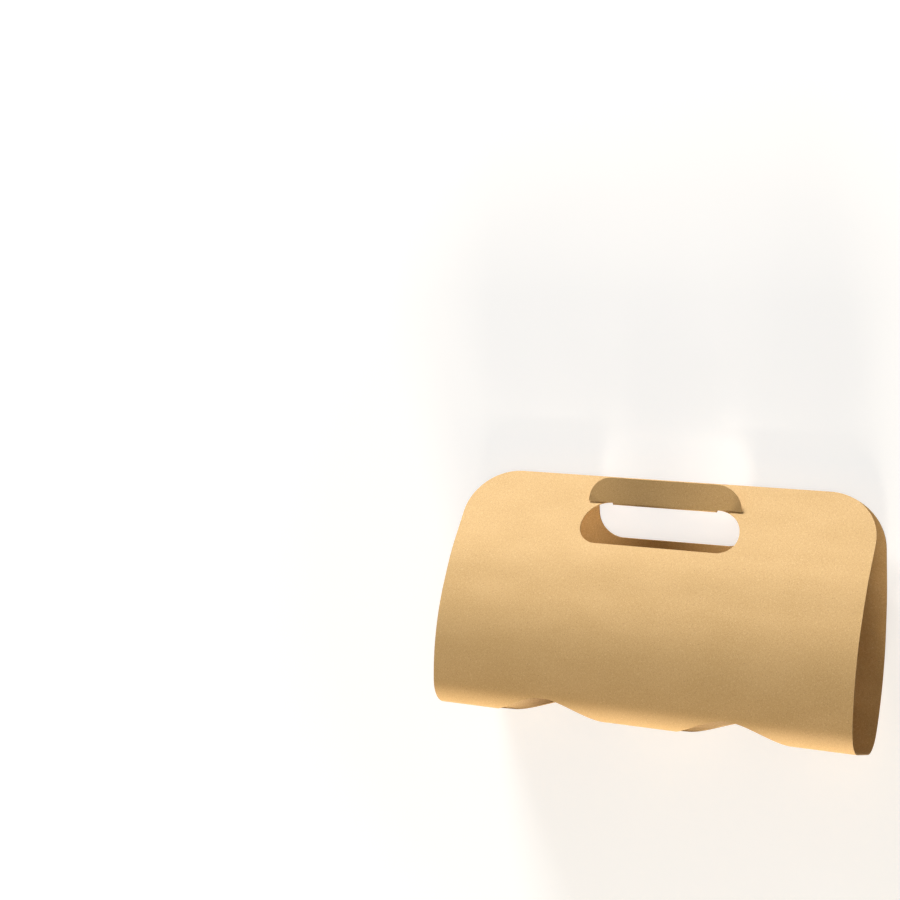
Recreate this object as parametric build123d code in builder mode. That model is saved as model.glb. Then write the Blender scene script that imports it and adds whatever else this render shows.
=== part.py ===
"""Cup carrier: one die-cut sheet of kraft card, bent round into a loop.

The sheet hangs as a long loop that is open at both ends. Its bottom has two oval
holes for cups, its front panel has a hand hole, and a flap cut from its back panel
is pushed through the hand hole and folded up in front of it, which locks the two
panels together. The loop is modelled empty and lying on its back panel,
with the front panel up, the handle towards +Y and the length of the carrier along X.
Lengths are in millimetres and angles in degrees.
"""

from build123d import *
from math import acos, cos, degrees, radians, sin
import os

os.makedirs("parts", exist_ok=True)

# The sheet and the loop that it makes, measured on its outer face
card = 0.6
carrier_length = 260
bottom_flat = 26
bottom_radius = 18
bottom_turn = 73.5
side_radius = 114
side_flat = 10
panel_lean = 24.2
top_gap = 1.4
corner_radius = 32

# Lean of the flat band in each side, on which the carrier comes to rest
rest_tilt = 14

# Oval cup holes across the bottom
cup_pitch = 115
cup_hole_length = 79
cup_hole_width = 58

# Hand hole in the front panel, with larger corners at its top
hand_drop = 18
hand_width = 100
hand_top_radius = 16.5
hand_side = 0.5
hand_bottom_radius = 12
hand_height = hand_top_radius + hand_side + hand_bottom_radius

# Flap cut from the back panel: a neck from its hinge, then two rounded wings
hinge_drop = 4
neck_width = 66
flap_width = 97
wing_radius = 15
wing_side = 0.5
wing_height = wing_radius + wing_side
wing_lift = 0.2
flap_open = 38
flap_clearance = 0.4

# Corners of the opening that the flap leaves, on each side of its neck
opening_radius = 15.5

# How far a cut runs past the sheet on each side
cut_reach = 2


# Section of the loop, with its back towards +X of the sketch and its handle up
with BuildSketch() as section:
    with BuildLine():
        bottom_line = Line((-bottom_flat / 2, 0), (bottom_flat / 2, 0))
        bottom_arc = JernArc(bottom_line @ 1, bottom_line % 1, bottom_radius, bottom_turn)
        side_turn = 90 + rest_tilt - bottom_turn
        lower_arc = JernArc(bottom_arc @ 1, bottom_arc % 1, side_radius, side_turn)
        rest_band = PolarLine(lower_arc @ 1, side_flat, direction=lower_arc % 1)
        upper_arc = JernArc(rest_band @ 1, rest_band % 1, side_radius, panel_lean - rest_tilt)
        panel_run = ((upper_arc @ 1).X - card - top_gap / 2) / sin(radians(panel_lean))
        back_panel = PolarLine(upper_arc @ 1, panel_run, direction=upper_arc % 1)
        mirror([bottom_arc, lower_arc, rest_band, upper_arc, back_panel], about=Plane.YZ)
        offset(amount=card, side=Side.LEFT)
    make_face()

back_top = back_panel @ 1
front_top = Vector(-back_top.X, back_top.Y)
up_back = back_panel % 1
up_front = Vector(-up_back.X, up_back.Y)
inward_front = up_front.rotate(Axis.Z, -90)

# The flap leaves the middle of the back panel, passes under the edge of the hand
# hole, turns up round it with an even clearance and stands open in front of the panel
hinge = back_top - up_back * hinge_drop + up_back.rotate(Axis.Z, 90) * card / 2
hole_edge = front_top - up_front * hand_drop + inward_front * card / 2
fold_radius = card + flap_clearance
flap_up = up_front.rotate(Axis.Z, flap_open)
flap_out = flap_up.rotate(Axis.Z, 90)
to_hinge = hinge - hole_edge
fold_angle = degrees(acos(fold_radius / to_hinge.length))
fold_start = hole_edge + to_hinge.normalized().rotate(Axis.Z, -fold_angle) * fold_radius
fold_end = hole_edge + flap_out * fold_radius
flap_tip = fold_end + flap_up * (wing_lift + wing_height)

# Section of the flap's middle, from the back panel to the flap's tip
with BuildSketch() as neck:
    with BuildLine():
        neck_line = Line(hinge, fold_start, mode=Mode.PRIVATE)
        FilletPolyline(hinge + up_back * card * 2, hinge, fold_start, radius=card)
        fold = TangentArc(fold_start, fold_end, tangent=fold_start - hinge)
        Line(fold_end, flap_tip - flap_up * card / 2)
        offset(amount=card / 2)
    make_face()
neck_length = neck_line.length + fold.length + wing_lift

# The loop lies on its back, with the flat band of that side at Z = 0
tilt = radians(rest_tilt)
tipped = Plane((0, 0, 0), x_dir=(0, -sin(tilt), -cos(tilt)), z_dir=(1, 0, 0))
extent = (tipped * (section.sketch + neck.sketch)).bounding_box()
origin = (0, -extent.center().Y, -extent.min.Z)
rest = Plane(origin, x_dir=tipped.x_dir, z_dir=tipped.z_dir)


def panel_plane(start, lean):
    """Plane on a panel's face: origin at the section's point start, +Y up the panel."""
    turn = radians(rest_tilt + lean)
    return Plane(rest.from_local_coords(start), x_dir=(1, 0, 0), z_dir=(0, sin(turn), cos(turn)))


front = panel_plane(front_top, panel_lean)
back = panel_plane(back_top, -panel_lean)
flap = panel_plane(fold_end - flap_out * card / 2, panel_lean - flap_open)
bottom = Plane(rest.origin, x_dir=(1, 0, 0), z_dir=rest.y_dir)

with BuildPart() as cup_carrier:
    # The sheet, bent into its loop, with the four corners of its panels rounded
    with BuildSketch(rest):
        add(section.sketch)
    extrude(amount=carrier_length / 2, both=True)
    corners = edges().filter_by(GeomType.LINE).sort_by(SortBy.LENGTH)[:4]
    fillet(corners, radius=corner_radius)

    # Cup holes
    with BuildSketch(bottom):
        with GridLocations(cup_pitch, 0, 2, 1):
            Ellipse(cup_hole_length / 2, cup_hole_width / 2)
    extrude(amount=bottom_radius + cut_reach, both=True, mode=Mode.SUBTRACT)

    # Hand hole
    with BuildSketch(front):
        with Locations((0, -hand_drop)):
            Rectangle(hand_width, hand_height, align=(Align.CENTER, Align.MAX))
        fillet(vertices().group_by(Axis.Y)[-1], hand_top_radius)
        fillet(vertices().group_by(Axis.Y)[0], hand_bottom_radius)
    extrude(amount=cut_reach, both=True, mode=Mode.SUBTRACT)

    # Opening that the flap leaves in the back panel, rounded out beside the neck
    with BuildSketch(back):
        with Locations((0, -hinge_drop)):
            Rectangle(flap_width, neck_length + wing_height, align=(Align.CENTER, Align.MAX))
        fillet(vertices().group_by(Axis.Y)[0], wing_radius)
        fillet(vertices().group_by(Axis.Y)[-1], opening_radius)
    extrude(amount=cut_reach, both=True, mode=Mode.SUBTRACT)

    # The flap's middle, as wide as its neck
    with BuildSketch(rest):
        add(neck.sketch)
    extrude(amount=neck_width / 2, both=True)

    # The flap's wings, just above the fold in its neck
    with BuildSketch(flap):
        with Locations((0, wing_lift)):
            Rectangle(flap_width, wing_height, align=(Align.CENTER, Align.MIN))
        fillet(vertices().group_by(Axis.Y)[-1], wing_radius)
    extrude(amount=card)

cup_carrier.part.label = "cup_carrier"
export_step(cup_carrier.part, "parts/cup_carrier.step")
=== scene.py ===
# %% [markdown]
# # A cup carrier of kraft card
#
# The carrier is one sheet of brown card. A die cuts its outline, two oval cup holes,
# a hand hole and a flap, and then the sheet is bent into a loop and locked with the
# flap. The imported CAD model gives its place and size. This script makes the same
# sheet again the way a factory does, flat first and bent after, because the grain
# and the pale cut edges of real card follow the flat sheet.

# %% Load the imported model
import bmesh
import bpy
from math import asin, copysign, cos, degrees, pi, radians, sin, tan
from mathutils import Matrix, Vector


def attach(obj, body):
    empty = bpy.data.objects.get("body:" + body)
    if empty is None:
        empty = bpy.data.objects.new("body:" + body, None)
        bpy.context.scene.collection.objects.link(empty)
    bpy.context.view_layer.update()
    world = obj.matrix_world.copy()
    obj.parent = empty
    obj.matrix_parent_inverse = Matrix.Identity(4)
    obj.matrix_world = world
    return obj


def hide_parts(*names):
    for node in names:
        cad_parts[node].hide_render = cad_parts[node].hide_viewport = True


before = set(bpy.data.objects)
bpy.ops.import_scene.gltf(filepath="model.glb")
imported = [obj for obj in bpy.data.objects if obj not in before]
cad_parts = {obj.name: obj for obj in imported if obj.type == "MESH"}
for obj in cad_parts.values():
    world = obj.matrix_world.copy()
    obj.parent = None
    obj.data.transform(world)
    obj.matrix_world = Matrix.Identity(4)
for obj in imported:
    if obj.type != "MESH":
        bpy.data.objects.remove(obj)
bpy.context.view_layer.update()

mm = 0.001

# %% [markdown]
# ## The camera
#
# The camera stands where the photograph was taken from, seen from the carrier. It
# could be placed by eye. Here its place, its angles and its lens come from fitting
# the edges of the loop to the photograph, so that the render and the photograph can
# be laid over each other.

# %% Place the camera
lens = bpy.data.cameras.new("camera")
lens.sensor_width = 36
lens.lens = 73.54
camera = bpy.data.objects.new("camera", lens)
camera.location = (0.36971, 0.22186, 1.06454)
camera.rotation_euler = (radians(-6.562), radians(26.338), radians(0.347))
bpy.context.collection.objects.link(camera)
bpy.context.scene.camera = camera
print("camera at", tuple(camera.location))

# %% [markdown]
# ## A path for the bend
#
# Seen from its end, the loop is a chain of straight runs and arcs. A Curve modifier
# could bend a sheet along such a chain, but it follows a row of short straight
# pieces. A walk of our own follows each arc exactly, and needs only a start, a
# heading and a list of runs, each with its length and its turn. The same walk bends
# the whole sheet and, on a second chain, the flap.

# %% Walk along straight runs and arcs
def arc(radius, turn):
    """A run that turns by an angle in degrees on a radius."""
    return radius * radians(turn), radians(turn)


def walk(start, heading, runs, distance):
    """Point and heading after a distance along runs of (length, turn)."""
    point = Vector(start)
    for length, turn in runs:
        step = min(max(distance, 0), length)
        if length > 0 and turn:
            radius = length / turn
            end = heading + step / radius
            point += radius * Vector((sin(end) - sin(heading), cos(heading) - cos(end)))
            heading = end
        else:
            point += step * Vector((cos(heading), sin(heading)))
        distance -= length
    if distance > 0:
        point += distance * Vector((cos(heading), sin(heading)))
    return point, heading


print("a quarter turn on a 10 mm radius is", round(arc(10 * mm, 90)[0] / mm, 2), "mm long")

# %% [markdown]
# The loop runs from the back panel's top edge down the back, across the flat base
# and up the front to the other panel's top edge, and it is the same on both sides.
# Each side has a short flat band, on which the carrier rests when it lies down.

# %% The loop, from the back panel's top edge round to the front panel's
card = 0.6 * mm
panel_lean = 24.2
side_radius = 114 * mm
corner_radius = 18 * mm
panel = (51.756 * mm, 0)
upper = arc(side_radius, 10.2)
band = (10 * mm, 0)
lower = arc(side_radius, 30.5)
corner = arc(corner_radius, 73.5)
base = (26 * mm, 0)
loop_runs = [panel, upper, band, lower, corner, base, corner, lower, band, upper, panel]
loop_start = (-1.3 * mm, 148.907 * mm)
loop_heading = radians(-90 - panel_lean)
sheet_length = 260 * mm
sheet_width = sum(length for length, turn in loop_runs)
print("flat sheet", round(sheet_length / mm, 1), "by", round(sheet_width / mm, 1), "mm")

# %% [markdown]
# The flap hangs from a short hinge under the back panel's top edge. It bends inwards,
# runs straight to the hand hole, turns up round the hole's upper edge and ends in two
# rounded wings. The chain follows the middle of the card's thickness, which neither
# stretches nor shrinks when card is folded.

# %% The flap, from its hinge to its tip
hinge = 4 * mm
hinge_radius = 0.6 * mm
neck_heading = radians(-52.47)
neck_length = 16.871 * mm
fold_radius = 1 * mm
fold_turn = 128.67
wing_gap = 0.2 * mm
flap_reach = 15.7 * mm

hinge_turn = degrees(neck_heading - loop_heading)
hinge_cut = hinge_radius * tan(radians(hinge_turn) / 2)
hinge_bend = arc(hinge_radius, hinge_turn)
neck = (neck_length - hinge_cut, 0)
fold = arc(fold_radius, fold_turn)
flap_runs = [hinge_bend, neck, fold, (flap_reach, 0)]

flap_begin = hinge - hinge_cut
fold_begin = flap_begin + hinge_bend[0] + neck[0]
fold_end = fold_begin + fold[0]
wing_top = fold_end + wing_gap
flap_end = fold_end + flap_reach
down = Vector((cos(loop_heading), sin(loop_heading)))
inwards = Vector((-down.y, down.x))
flap_start = Vector(loop_start) + down * flap_begin + inwards * card / 2
print("flap from", round(flap_begin / mm, 2), "to", round(flap_end / mm, 2), "mm down the back")

# %% [markdown]
# ## The flat sheet
#
# A sheet can only bend where its mesh has rows. A plane with a Subdivision Surface
# would have them, but not where they are wanted, so the blank starts as a grid. Its
# rows are about 2 mm apart, and the two tight folds of the flap get extra rows, cut
# in with bisect. Points closer than the weld distance count as one. One extrude gives
# the sheet its thickness.

# %% Grid, extra rows and thickness
weld = 1e-7


def rows_between(first, last, count):
    """Evenly spaced values from first to last."""
    return [first + (last - first) * i / count for i in range(count + 1)]


def flat_grid(margin, columns, rows):
    """Closed flat slab, outer face up at Z = 0, larger than the sheet by a margin."""
    bm = bmesh.new()
    bmesh.ops.create_grid(bm, x_segments=columns, y_segments=rows, size=0.5)
    size = (sheet_length + 2 * margin, sheet_width + 2 * margin, 1)
    bmesh.ops.scale(bm, vec=size, verts=bm.verts)
    bmesh.ops.translate(bm, vec=(0, sheet_width / 2, 0), verts=bm.verts)
    tight_rows = rows_between(flap_begin, flap_begin + hinge_bend[0], count=6)
    tight_rows += rows_between(fold_begin, fold_end, count=16)
    for row in tight_rows:
        everything = bm.verts[:] + bm.edges[:] + bm.faces[:]
        bmesh.ops.bisect_plane(bm, geom=everything, dist=weld,
                               plane_co=(0, row, 0), plane_no=(0, 1, 0))
    under = bmesh.ops.extrude_face_region(bm, geom=bm.faces[:], use_keep_orig=True)
    moved = [item for item in under["geom"] if isinstance(item, bmesh.types.BMVert)]
    bmesh.ops.translate(bm, vec=(0, 0, -card), verts=moved)
    bmesh.ops.recalc_face_normals(bm, faces=bm.faces)
    return bm


def new_object(bm, name):
    """Puts a bmesh into a new object in the scene."""
    mesh = bpy.data.meshes.new(name)
    bm.to_mesh(mesh)
    bm.free()
    piece = bpy.data.objects.new(name, mesh)
    bpy.context.collection.objects.link(piece)
    print(name, "has", len(mesh.polygons), "faces")
    return piece


blank = new_object(flat_grid(margin=2 * mm, columns=26, rows=174), "kraft_sheet")

# %% [markdown]
# ## The cutting die
#
# A die is a board with steel rules bent to each outline. The holes could be built
# into the mesh face by face, but it is far simpler to cut as a die does: each rule is
# a flat shape pushed through the sheet, and a Boolean modifier does the cutting. The
# first rule is the sheet's outline, a rectangle with the panels' round corners. A
# vertex bevel rounds them, so a radius is one number.

# %% A flat shape with round corners
die_depth = 3 * mm
panel_corner = 32 * mm


def flat_shape(bm, places):
    """Flat face through (x, y) places, below the sheet."""
    return bm.faces.new([bm.verts.new((x, y, -die_depth)) for x, y in places])


def plate(bm, left, right, low, high):
    """Flat rectangle, below the sheet."""
    return flat_shape(bm, [(left, low), (right, low), (right, high), (left, high)])


def round_corners(bm, verts, radius):
    """Rounds corners of a flat shape."""
    bmesh.ops.bevel(bm, geom=verts, offset=radius, offset_type="OFFSET", affect="VERTICES",
                    segments=20, profile=0.5, material=-1)


bm = bmesh.new()
plate(bm, -sheet_length / 2, sheet_length / 2, 0, sheet_width)
round_corners(bm, bm.verts[:], panel_corner)
print("outline has", len(bm.verts), "points")

# %% [markdown]
# One extrude makes the flat shape a closed cutter. It starts below the sheet and ends
# above it, because a Boolean is least sure where two faces lie on each other.

# %% Push it through the sheet
def push_through(bm):
    """Extrudes flat shapes up through the sheet, into closed cutters."""
    raised = bmesh.ops.extrude_face_region(bm, geom=bm.faces[:], use_keep_orig=True)
    moved = [item for item in raised["geom"] if isinstance(item, bmesh.types.BMVert)]
    bmesh.ops.translate(bm, vec=(0, 0, 2 * die_depth), verts=moved)
    bmesh.ops.recalc_face_normals(bm, faces=bm.faces)


push_through(bm)
outline_rule = new_object(bm, "outline_rule")

# %% [markdown]
# The hand hole is a slot with larger corners at its top. On the flat sheet the front
# panel is the far end, so the hole's top is its side nearer that edge.

# %% Hand hole
hand_half = 50 * mm
hand_drop = 18 * mm
hand_height = 29 * mm
hand_top_radius = 16.5 * mm
hand_bottom_radius = 12 * mm
hand_top = sheet_width - hand_drop


def corners_at(bm, side):
    """The corner vertices of a flat shape on its low (min) or high (max) side."""
    edge = side(vert.co.y for vert in bm.verts)
    return [vert for vert in bm.verts if abs(vert.co.y - edge) < 0.001 * mm]


bm = bmesh.new()
plate(bm, -hand_half, hand_half, hand_top - hand_height, hand_top)
round_corners(bm, corners_at(bm, max), hand_top_radius)
round_corners(bm, corners_at(bm, min), hand_bottom_radius)
push_through(bm)
hand_rule = new_object(bm, "hand_rule")

# %% [markdown]
# A cup hole is an oval when the loop is seen from below. Round the bend the same hole
# is longer on the flat sheet, so each point of a plain oval is moved out from the
# middle to the length of arc that it stands for.

# %% Cup holes
cup_half_length = 39.5 * mm
cup_half_width = 29 * mm
cup_place = 57.5 * mm
base_half = base[0] / 2

bm = bmesh.new()
for side in (-1, 1):
    oval = bmesh.ops.create_circle(bm, cap_ends=True, segments=96, radius=1)["verts"]
    bmesh.ops.scale(bm, vec=(cup_half_length, cup_half_width, 1), verts=oval)
    for vert in oval:
        past_base = abs(vert.co.y) - base_half
        if past_base > 0:
            along = base_half + corner_radius * asin(past_base / corner_radius)
            vert.co.y = copysign(along, vert.co.y)
    bmesh.ops.translate(bm, vec=(side * cup_place, sheet_width / 2, -die_depth), verts=oval)
push_through(bm)
cup_rules = new_object(bm, "cup_rules")

# %% [markdown]
# The flap isn't cut off: its rule is a slit that stops at the hinge. A slit could be
# drawn as a thin ribbon, but an inset of the flap's outline by a hair keeps its width
# even round the corners. The middle and the hinge side are then taken away.

# %% Slit round the flap
slit = 0.12 * mm
neck_half = 33 * mm
wing_half = 48.5 * mm
wing_radius = 15 * mm

bm = bmesh.new()
flat_shape(bm, [(-neck_half, flap_begin), (neck_half, flap_begin), (neck_half, wing_top),
                (wing_half, wing_top), (wing_half, flap_end), (-wing_half, flap_end),
                (-wing_half, wing_top), (-neck_half, wing_top)])
round_corners(bm, corners_at(bm, max), wing_radius)
bmesh.ops.inset_region(bm, faces=bm.faces[:], thickness=slit,
                       use_boundary=True, use_even_offset=True)
waste = [max(bm.faces, key=lambda face: face.calc_area())]
waste += [face for face in bm.faces if abs(face.calc_center_median().y - flap_begin) < slit]
bmesh.ops.delete(bm, geom=waste, context="FACES")
push_through(bm)
flap_rule = new_object(bm, "flap_rule")

# %% [markdown]
# On each side of the neck a scrap falls out as well, so the opening behind the flap is
# round at both ends and card can't tear from a sharp corner beside the hinge.

# %% Scraps beside the neck
bm = bmesh.new()
for side in (-1, 1):
    plate(bm, side * (neck_half - slit / 2), side * wing_half, hinge, wing_top + slit / 2)
outer = [vert for vert in corners_at(bm, min) if abs(vert.co.x) > neck_half]
round_corners(bm, outer, wing_half - neck_half)
push_through(bm)
scrap_rules = new_object(bm, "scrap_rules")

# %% [markdown]
# Now the die comes down. The outline keeps what is inside it, and the other rules take
# away what is inside them. The exact solver is slower than the fast one, but it is
# sure with a slit a hair wide. The result is stored as a plain mesh, because the bend
# moves its own vertices.

# %% Cut the sheet
def cut(piece, rule, operation):
    """Adds one Boolean cut to a piece."""
    step = piece.modifiers.new(rule.name, "BOOLEAN")
    step.operation = operation
    step.solver = "EXACT"
    step.object = rule


hole_rules = (hand_rule, cup_rules, flap_rule, scrap_rules)
cut(blank, outline_rule, "INTERSECT")
for rule in hole_rules:
    cut(blank, rule, "DIFFERENCE")

seen = blank.evaluated_get(bpy.context.evaluated_depsgraph_get())
flat_mesh = bpy.data.meshes.new_from_object(seen)
blank.modifiers.clear()
blank.data = flat_mesh
for rule in (outline_rule, *hole_rules):
    bpy.data.objects.remove(rule)
print("cut sheet has", len(flat_mesh.polygons), "faces")

# %% [markdown]
# ## Bending the sheet
#
# Every vertex keeps its place on the flat sheet in an attribute, which the material
# reads so that the fibres turn with the card. Faces that stand upright on the flat
# sheet are the cut edges. They get the second material slot, and the rim round them
# is marked sharp before anything is bent, while the test for it is simple.

# %% Remember the flat sheet
rim_angle = radians(35)

bm = bmesh.new()
bm.from_mesh(flat_mesh)
bmesh.ops.remove_doubles(bm, verts=bm.verts, dist=weld)
flat_place = bm.verts.layers.float_vector.new("flat_place")
for vert in bm.verts:
    vert[flat_place] = vert.co
for face in bm.faces:
    upright = abs(face.normal.z) < 0.5
    face.material_index = 1 if upright else 0
    face.smooth = True
for edge in bm.edges:
    edge.smooth = edge.calc_face_angle(pi) < rim_angle
print("rim of", sum(not edge.smooth for edge in bm.edges), "edges")

# %% [markdown]
# The flap and the card round it share the same rows of the flat sheet and bend along
# different chains, so each vertex is asked on which side of the slit it lies. A vertex
# group painted by hand would say the same, but a test from the flap's own sizes stays
# right when a size changes.

# %% Which vertices belong to the flap
def on_flap(place):
    """True for a point of the flat sheet that is inside the slit."""
    x, y = abs(place.x), place.y
    half_slit = slit / 2
    if flap_begin < y <= wing_top + half_slit:
        return x < neck_half - half_slit
    if not wing_top + half_slit < y < flap_end - half_slit:
        return False
    round_part = Vector((x - wing_half + wing_radius, y - flap_end + wing_radius))
    if round_part.x > 0 and round_part.y > 0:
        return round_part.length < wing_radius - half_slit
    return x < wing_half - half_slit


print("flap has", sum(on_flap(vert.co) for vert in bm.verts), "of", len(bm.verts), "points")

# %% [markdown]
# The bent sheet lies on its back panel, tipped by 14 degrees, with its handle towards
# +Y. A point of the flat sheet walks its distance along the loop or the flap, and then
# steps out from there by its height in the card's thickness.

# %% Bend
tip = radians(14)
bottom = Vector((0, -71.246 * mm, 48.252 * mm))
forwards = Vector((0, sin(tip), cos(tip)))
upwards = Vector((0, cos(tip), -sin(tip)))


def bent(place):
    """Where a point of the flat sheet ends up on the carrier."""
    if on_flap(place):
        point, heading = walk(flap_start, loop_heading, flap_runs, place.y - flap_begin)
        height = place.z + card / 2
    else:
        point, heading = walk(loop_start, loop_heading, loop_runs, place.y)
        height = place.z
    point = point + height * Vector((sin(heading), -cos(heading)))
    return bottom + Vector((place.x, 0, 0)) + forwards * point.x + upwards * point.y


for vert in bm.verts:
    vert.co = bent(vert[flat_place])
bm.normal_update()
bm.to_mesh(flat_mesh)
print("volume", round(bm.calc_volume() / mm ** 3), "cubic mm")
bm.free()

# %% [markdown]
# ## Kraft card
#
# Uncoated kraft board is matt and warm brown. Close up it is a felt of wood fibres:
# pale and dark hairs a millimetre or two long, small dark specks, and soft clouds
# where the pulp is thicker. A scan of real card could be laid on with a UV map. Noise
# is used instead, because it never repeats or blurs. It is read at each point's place
# on the flat sheet, so it bends with the card.

# %% A material that reads the flat sheet
def new_material(name):
    """Material with an empty node tree."""
    material = bpy.data.materials.new(name)
    material.use_nodes = True
    material.node_tree.nodes.clear()
    return material


def add(material, kind, **values):
    """Adds a node, sets its properties, then its inputs by name or number."""
    node = material.node_tree.nodes.new(kind)
    for key, value in values.pop("set", {}).items():
        setattr(node, key, value)
    for key, value in values.pop("inputs", {}).items():
        if isinstance(value, bpy.types.NodeSocket):
            material.node_tree.links.new(value, node.inputs[key])
        else:
            node.inputs[key].default_value = value
    return node


def flat_places(material):
    """Each point's place on the flat sheet."""
    return add(material, "ShaderNodeAttribute",
               set={"attribute_name": "flat_place"}).outputs["Vector"]


kraft_face = new_material("kraft_face")
place = flat_places(kraft_face)
print(kraft_face.name, "reads", place.node.attribute_name)

# %% [markdown]
# A noise has round spots. Stretched on one axis, its spots become hairs, and three
# such noises at different angles lie across each other as the fibres do. The scales
# count spots in a metre.

# %% Noise for the clouds, the grain, the fibres and the specks
cloud_scale, grain_scale, fibre_scale, speck_scale = 60, 1900, 3600, 1500


def stretched(material, place, turn, scale):
    """Coordinates turned about the sheet's normal, then scaled on each axis."""
    turned = add(material, "ShaderNodeMapping",
                 inputs={"Vector": place, "Rotation": (0, 0, radians(turn))}).outputs[0]
    return add(material, "ShaderNodeMapping",
               inputs={"Vector": turned, "Scale": scale}).outputs[0]


def noise(material, vector, scale, detail, roughness=0.5):
    """Noise value between 0 and 1."""
    return add(material, "ShaderNodeTexNoise",
               inputs={"Vector": vector, "Scale": scale, "Detail": detail,
                       "Roughness": roughness}).outputs[0]


clouds = noise(kraft_face, stretched(kraft_face, place, 0, (0.5, 1, 1)), cloud_scale, 3)
grain = noise(kraft_face, stretched(kraft_face, place, 0, (0.6, 1.3, 1)), grain_scale, 3, 0.7)
fibres = [noise(kraft_face, stretched(kraft_face, place, turn, (0.18, 1, 1)), fibre_scale, 1)
          for turn in (8, 67, 118)]
specks = noise(kraft_face, place, speck_scale, 0)
print("fibres lie", len(fibres), "ways")

# %% [markdown]
# The colours are laid over each other: the ground first, then the grain, the pale and
# dark fibres and the specks. One colour ramp would be shorter, but then pale and dark
# hairs couldn't cross. Each layer comes in where its noise passes a limit, and only in
# part, so that no layer hides the one below.

# %% Colours of the face
kraft_light = (0.59, 0.388, 0.163, 1)
kraft_brown = (0.54, 0.35, 0.138, 1)
kraft_grain = (0.39, 0.215, 0.07, 1)
pale_fibre = (0.77, 0.56, 0.31, 1)
dark_fibre = (0.34, 0.17, 0.06, 1)
bark_speck = (0.16, 0.08, 0.03, 1)


def band_of(material, value, low, high, bottom=0.0, top=1.0):
    """Spreads the part of a value between low and high over bottom to top."""
    return add(material, "ShaderNodeMapRange",
               inputs={0: value, 1: low, 2: high, 3: bottom, 4: top}).outputs[0]


def tint(material, factor, colour, over):
    """Mixes a colour over another by a factor."""
    return add(material, "ShaderNodeMix", set={"data_type": "RGBA"},
               inputs={0: factor, 6: over, 7: colour}).outputs[2]


colour = tint(kraft_face, band_of(kraft_face, clouds, 0.3, 0.7), kraft_light, kraft_brown)
colour = tint(kraft_face, band_of(kraft_face, grain, 0.35, 0.75, 0, 0.65), kraft_grain, colour)
for fibre in fibres:
    colour = tint(kraft_face, band_of(kraft_face, fibre, 0.62, 0.74, 0, 0.5), pale_fibre, colour)
    colour = tint(kraft_face, band_of(kraft_face, fibre, 0.36, 0.26, 0, 0.45), dark_fibre, colour)
colour = tint(kraft_face, band_of(kraft_face, specks, 0.24, 0.18, 0, 0.5), bark_speck, colour)
print("ground between", kraft_brown[:3], "and", kraft_light[:3])

# %% [markdown]
# The fibres stand up from the card by a few hundredths of a millimetre, too little to
# model. A bump from the same noises gives them a light and a dark side. The surface
# itself is rough, with the plain gloss of an uncoated board.

# %% Fibres that stand up, on a matt surface
def card_surface(material, colour, height, strength, depth, roughness):
    """Matt card in a colour, with a bump from a height."""
    bump = add(material, "ShaderNodeBump",
               inputs={"Strength": strength, "Distance": depth, "Height": height})
    shader = add(material, "ShaderNodeBsdfPrincipled",
                 inputs={"Base Color": colour, "Roughness": roughness, "IOR": 1.5,
                         "Normal": bump.outputs[0]})
    add(material, "ShaderNodeOutputMaterial", inputs={"Surface": shader.outputs[0]})
    print(material.name, "has", len(material.node_tree.nodes), "nodes")


height = grain
for fibre in fibres:
    height = add(kraft_face, "ShaderNodeMath", set={"operation": "ADD"},
                 inputs={0: height, 1: fibre}).outputs[0]
card_surface(kraft_face, colour, height, strength=0.35, depth=0.06 * mm, roughness=0.75)

# %% [markdown]
# A cut edge shows the inside of the board, which is paler and pressed from several
# thin plies. Its own material is simplest: one noise squeezed through the thickness
# gives the plies their faint lines, in the colour and in the bump.

# %% Cut edge
edge_pale = (0.88, 0.70, 0.45, 1)
edge_brown = (0.72, 0.52, 0.29, 1)
ply_scale = 2500

kraft_edge = new_material("kraft_edge")
plies = noise(kraft_edge, stretched(kraft_edge, flat_places(kraft_edge), 0, (0.2, 0.2, 3)),
              ply_scale, 2)
colour = tint(kraft_edge, band_of(kraft_edge, plies, 0.35, 0.65), edge_pale, edge_brown)
card_surface(kraft_edge, colour, plies, strength=0.5, depth=0.05 * mm, roughness=0.8)

# %% [markdown]
# The faces already know their slot, 0 for the face and 1 for the cut edge, so the two
# materials only have to be put in that order.

# %% Lay the materials on the sheet
blank.data.materials.clear()
for material in (kraft_face, kraft_edge):
    blank.data.materials.append(material)
print(blank.name, "wears", [material.name for material in blank.data.materials])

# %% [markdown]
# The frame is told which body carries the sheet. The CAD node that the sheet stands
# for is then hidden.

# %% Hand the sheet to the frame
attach(blank, "root")
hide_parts("cup_carrier")
print(blank.name, "stands for cup_carrier")

# %% [markdown]
# ## Floor and light
#
# The carrier lies on a plain white floor. A real studio would sweep the floor up into
# a backdrop. Here a wide flat floor adds some light of its own, more of it further
# out, so it takes the shadow near the carrier and runs into the white world without
# an edge. Only the camera and reflections see it, so it doesn't act as a lamp.

# %% Floor
near, far, near_glow = 0.25, 1.2, 0.54


def in_sight(material):
    """1 for rays from the camera, a reflection or glass, 0 for rays that only light."""
    rays = add(material, "ShaderNodeLightPath").outputs
    sight = rays["Is Camera Ray"]
    for kind in ("Is Glossy Ray", "Is Transmission Ray"):
        sight = add(material, "ShaderNodeMath", set={"operation": "MAXIMUM"},
                    inputs={0: sight, 1: rays[kind]}).outputs[0]
    return sight


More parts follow.
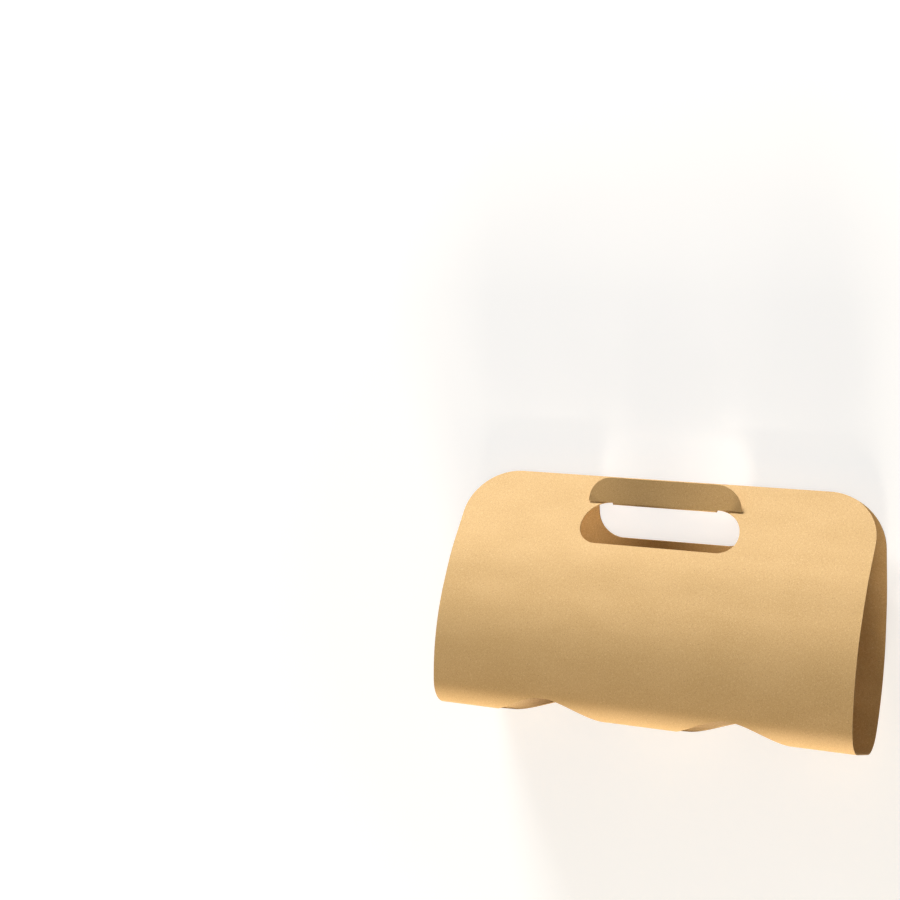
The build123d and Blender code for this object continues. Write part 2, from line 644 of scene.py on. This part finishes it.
bm = bmesh.new()
bmesh.ops.create_grid(bm, x_segments=1, y_segments=1, size=12)
floor = new_object(bm, "floor")
floor_white = new_material("floor_white")
spot = add(floor_white, "ShaderNodeTexCoord").outputs["Object"]
distance = add(floor_white, "ShaderNodeVectorMath", set={"operation": "LENGTH"},
               inputs={0: spot}).outputs["Value"]
strength = band_of(floor_white, distance, near, far, near_glow, 1)
glow = add(floor_white, "ShaderNodeMath", set={"operation": "MULTIPLY"},
           inputs={0: in_sight(floor_white), 1: strength})
matt = add(floor_white, "ShaderNodeBsdfDiffuse", inputs={"Color": (0.6, 0.6, 0.6, 1)})
light = add(floor_white, "ShaderNodeEmission",
            inputs={"Color": (1, 1, 1, 1), "Strength": glow.outputs[0]})
both = add(floor_white, "ShaderNodeAddShader", inputs={0: matt.outputs[0], 1: light.outputs[0]})
add(floor_white, "ShaderNodeOutputMaterial", inputs={"Surface": both.outputs[0]})
floor.data.materials.append(floor_white)

# %% [markdown]
# One big soft lamp overhead would light the card evenly. In the photograph the upper
# panel is the brightest and the card grows darker towards the bend, so the main lamp
# stands low, beyond the handle. A second low lamp on the far side lights the bend
# itself, and a weak high one reaches through the hand hole. These two are a little
# warm, as light that comes back from brown card is.

# %% Lamps
warm_white = (1, 0.9, 0.76)
carrier_middle = Vector((0, 0, 0.04))


def softbox(name, place, size, power, colour=(1, 1, 1)):
    """Square area lamp at a place, turned towards the carrier."""
    data = bpy.data.lights.new(name, "AREA")
    data.shape = "SQUARE"
    data.color = colour
    data.size = size
    data.energy = power
    lamp = bpy.data.objects.new(name, data)
    lamp.location = place
    lamp.rotation_euler = (carrier_middle - Vector(place)).to_track_quat("-Z", "Y").to_euler()
    bpy.context.collection.objects.link(lamp)
    print(name, "of", power, "watts")


softbox("key_light", (-0.88, 2.2, 0.39), size=0.7, power=108)
softbox("low_light", (0.2, -2.1, 0.44), size=0.7, power=72, colour=warm_white)
softbox("high_light", (0.7, 0.3, 1.9), size=0.9, power=5.2, colour=warm_white)

# %% [markdown]
# The world is the room round the studio. It adds a weak warm light to the shadows, and
# the camera and reflections see a white backdrop in its place. Standard shows colours
# as they are written.

# %% World
room_strength = 0.15

world = bpy.data.worlds.new("studio")
bpy.context.scene.world = world
world.use_nodes = True
world.node_tree.nodes.clear()
room = add(world, "ShaderNodeBackground",
           inputs={"Color": (*warm_white, 1), "Strength": room_strength})
backdrop = add(world, "ShaderNodeBackground", inputs={"Color": (1, 1, 1, 1), "Strength": 1})
choose = add(world, "ShaderNodeMixShader",
             inputs={0: in_sight(world), 1: room.outputs[0], 2: backdrop.outputs[0]})
add(world, "ShaderNodeOutputWorld", inputs={"Surface": choose.outputs[0]})
bpy.context.scene.view_settings.view_transform = "Standard"
print("room light", room_strength)
